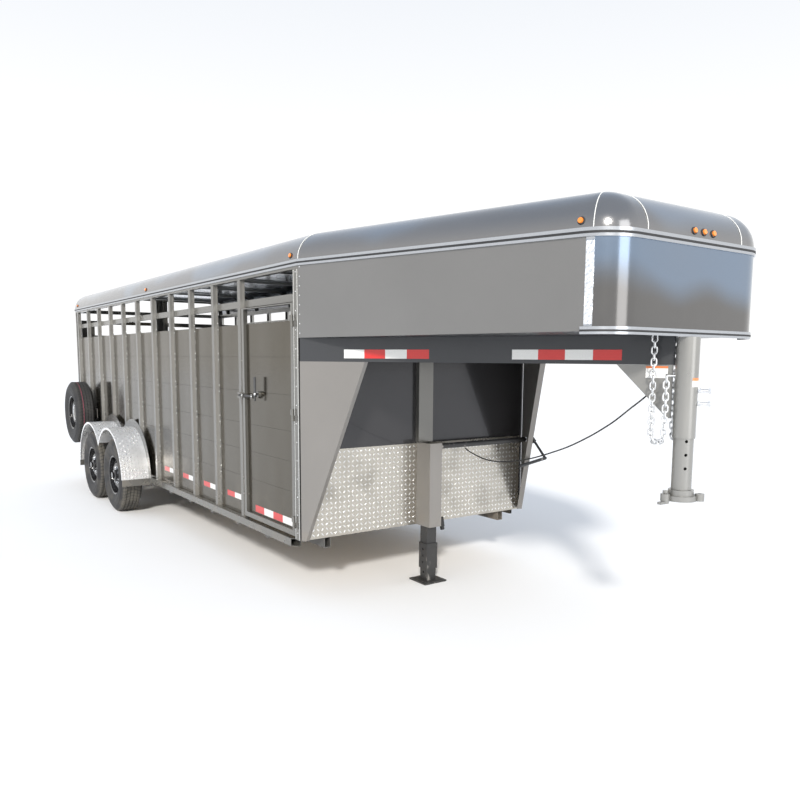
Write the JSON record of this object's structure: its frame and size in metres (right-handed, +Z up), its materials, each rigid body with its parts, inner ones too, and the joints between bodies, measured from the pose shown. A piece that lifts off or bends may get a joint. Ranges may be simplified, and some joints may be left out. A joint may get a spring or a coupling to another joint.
{
  "type": "gooseneck livestock trailer",
  "caption": "Slatted-side gooseneck livestock trailer with tandem wheels, swinging gates, side door, drop-leg jack and adjustable ball coupler",
  "frame": {"origin": "middle of the jack's foot plate, on the ground", "axes": "+X forward to the truck along the length, +Y to the left, +Z up"},
  "size_m": [9.0629, 2.65, 2.5285],
  "materials": {
    "body_paint": "glossy charcoal metallic paint",
    "frame_paint": "grey metallic paint",
    "black_paint": "black gloss paint",
    "underframe_paint": "dull grey paint",
    "bright_aluminium": "mill finish, tread pattern where it is a plate",
    "dark_rubber": "matt",
    "tyre_rubber": "matt black",
    "galvanised": "zinc plated",
    "treated_wood": "rough sawn, treated",
    "amber_lens": "clear amber plastic",
    "red_lens": "clear red plastic",
    "cable_sheath": "matt black",
    "wheel_paint": "black gloss enamel"
  },
  "bodies": {
    "trailer": {"axles": "underframe_paint", "chassis_rails": "underframe_paint", "connector_cord": "cable_sheath", "connector_plug": "cable_sheath", "coupler_bolts": "galvanised", "coupler_sleeve": "frame_paint", "cross_members": "underframe_paint", "edge_trim": "bright_aluminium", "fender_plates": "frame_paint", "fenders": "bright_aluminium", "floor_planks": "treated_wood", "front_posts": "frame_paint", "front_wall": "body_paint", "gooseneck_beams": "frame_paint", "hinge_pins": "frame_paint", "jack_casing": "frame_paint", "jack_cross_tube": "black_paint", "kick_plate": "bright_aluminium", "marker_lamps": "amber_lens", "neck_gussets": "frame_paint", "nose_cross_members": "frame_paint", "nose_floor": "frame_paint", "nose_front_skin": "body_paint", "nose_side_panels": "body_paint", "rear_frame": "frame_paint", "roof_bows": "frame_paint", "roof_main": "body_paint", "roof_nose": "body_paint", "rub_rails": "frame_paint", "safety_chains": "galvanised", "side_panels": "body_paint", "spare_bracket": "frame_paint", "spare_rim": "wheel_paint", "spare_tyre": "tyre_rubber", "suspension": "underframe_paint", "tail_lamps": "red_lens", "trim_insert": "dark_rubber", "wall_posts": "frame_paint", "wall_rails": "frame_paint", "wedge_panels": "frame_paint", "wiring_cable": "cable_sheath"},
    "wheel_front_right": {"tyre_front_right": "tyre_rubber", "rim_front_right": "wheel_paint"},
    "wheel_rear_right": {"tyre_rear_right": "tyre_rubber", "rim_rear_right": "wheel_paint"},
    "wheel_front_left": {"tyre_front_left": "tyre_rubber", "rim_front_left": "wheel_paint"},
    "wheel_rear_left": {"tyre_rear_left": "tyre_rubber", "rim_rear_left": "wheel_paint"},
    "side_door": {"escape_door": "frame_paint"},
    "door_handle": {"door_latch_handle": "black_paint"},
    "door_bar": {"door_latch_bar": "black_paint"},
    "tail_gate": {"rear_gate": "frame_paint"},
    "gate_bar": {"rear_gate_latch": "black_paint"},
    "divider_gate": {"centre_gate": "frame_paint"},
    "landing_leg": {"jack_leg": "black_paint"},
    "crank": {"crank_handle": "black_paint"},
    "coupler_slide": {"coupler_stem": "frame_paint", "coupler_head": "frame_paint"},
    "coupler_lock": {"coupler_latch": "frame_paint"}
  },
  "joints": [
    {"name": "wheel_front_right_spin", "type": "hinge", "parent": "trailer", "child": "wheel_front_right", "pos_m": [-4.031, -1.1925, 0.396], "axis": [0, 1, 0], "continuous": true},
    {"name": "wheel_rear_right_spin", "type": "hinge", "parent": "trailer", "child": "wheel_rear_right", "pos_m": [-4.991, -1.1925, 0.396], "axis": [0, 1, 0], "continuous": true},
    {"name": "wheel_front_left_spin", "type": "hinge", "parent": "trailer", "child": "wheel_front_left", "pos_m": [-4.031, 1.1925, 0.396], "axis": [0, 1, 0], "continuous": true},
    {"name": "wheel_rear_left_spin", "type": "hinge", "parent": "trailer", "child": "wheel_rear_left", "pos_m": [-4.991, 1.1925, 0.396], "axis": [0, 1, 0], "continuous": true},
    {"name": "side_door_swing", "type": "hinge", "parent": "trailer", "child": "side_door", "pos_m": [-0.161, -1.057, 1], "axis": [0, 0, 1], "range_deg": [0, 165]},
    {"name": "door_handle_turn", "type": "hinge", "parent": "side_door", "child": "door_handle", "pos_m": [-0.76, -1.05, 1.419], "axis": [0, 1, 0], "range_deg": [0, 80]},
    {"name": "door_bar_slide", "type": "slide", "parent": "side_door", "child": "door_bar", "axis": [1, 0, 0], "range_m": [0, 0.075]},
    {"name": "tail_gate_swing", "type": "hinge", "parent": "trailer", "child": "tail_gate", "pos_m": [-6.718, 0.99, 1], "axis": [0, 0, -1], "range_deg": [0, 155]},
    {"name": "gate_bar_slide", "type": "slide", "parent": "tail_gate", "child": "gate_bar", "axis": [0, 1, 0], "range_m": [0, 0.07]},
    {"name": "divider_gate_swing", "type": "hinge", "parent": "trailer", "child": "divider_gate", "pos_m": [-3.396, 0.982, 1], "axis": [0, 0, 1], "range_deg": [-85, 85]},
    {"name": "landing_leg_lift", "type": "slide", "parent": "trailer", "child": "landing_leg", "axis": [0, 0, 1], "range_m": [0, 0.25]},
    {"name": "crank_fold", "type": "hinge", "parent": "trailer", "child": "crank", "pos_m": [0.036, 1.073, 1.016], "axis": [0.78, 0, 0.6258], "range_deg": [0, 170]},
    {"name": "coupler_height", "type": "slide", "parent": "trailer", "child": "coupler_slide", "axis": [0, 0, 1], "range_m": [-0.1, 0.13]},
    {"name": "coupler_lock_turn", "type": "hinge", "parent": "coupler_slide", "child": "coupler_lock", "pos_m": [2.12453, -0.08645, 0.971], "axis": [0, 0, 1], "range_deg": [0, 90]}
  ],
  "couplings": [
    {"joint": "door_bar_slide", "follows": "door_handle_turn", "m_per_rad": 0.05}
  ]
}
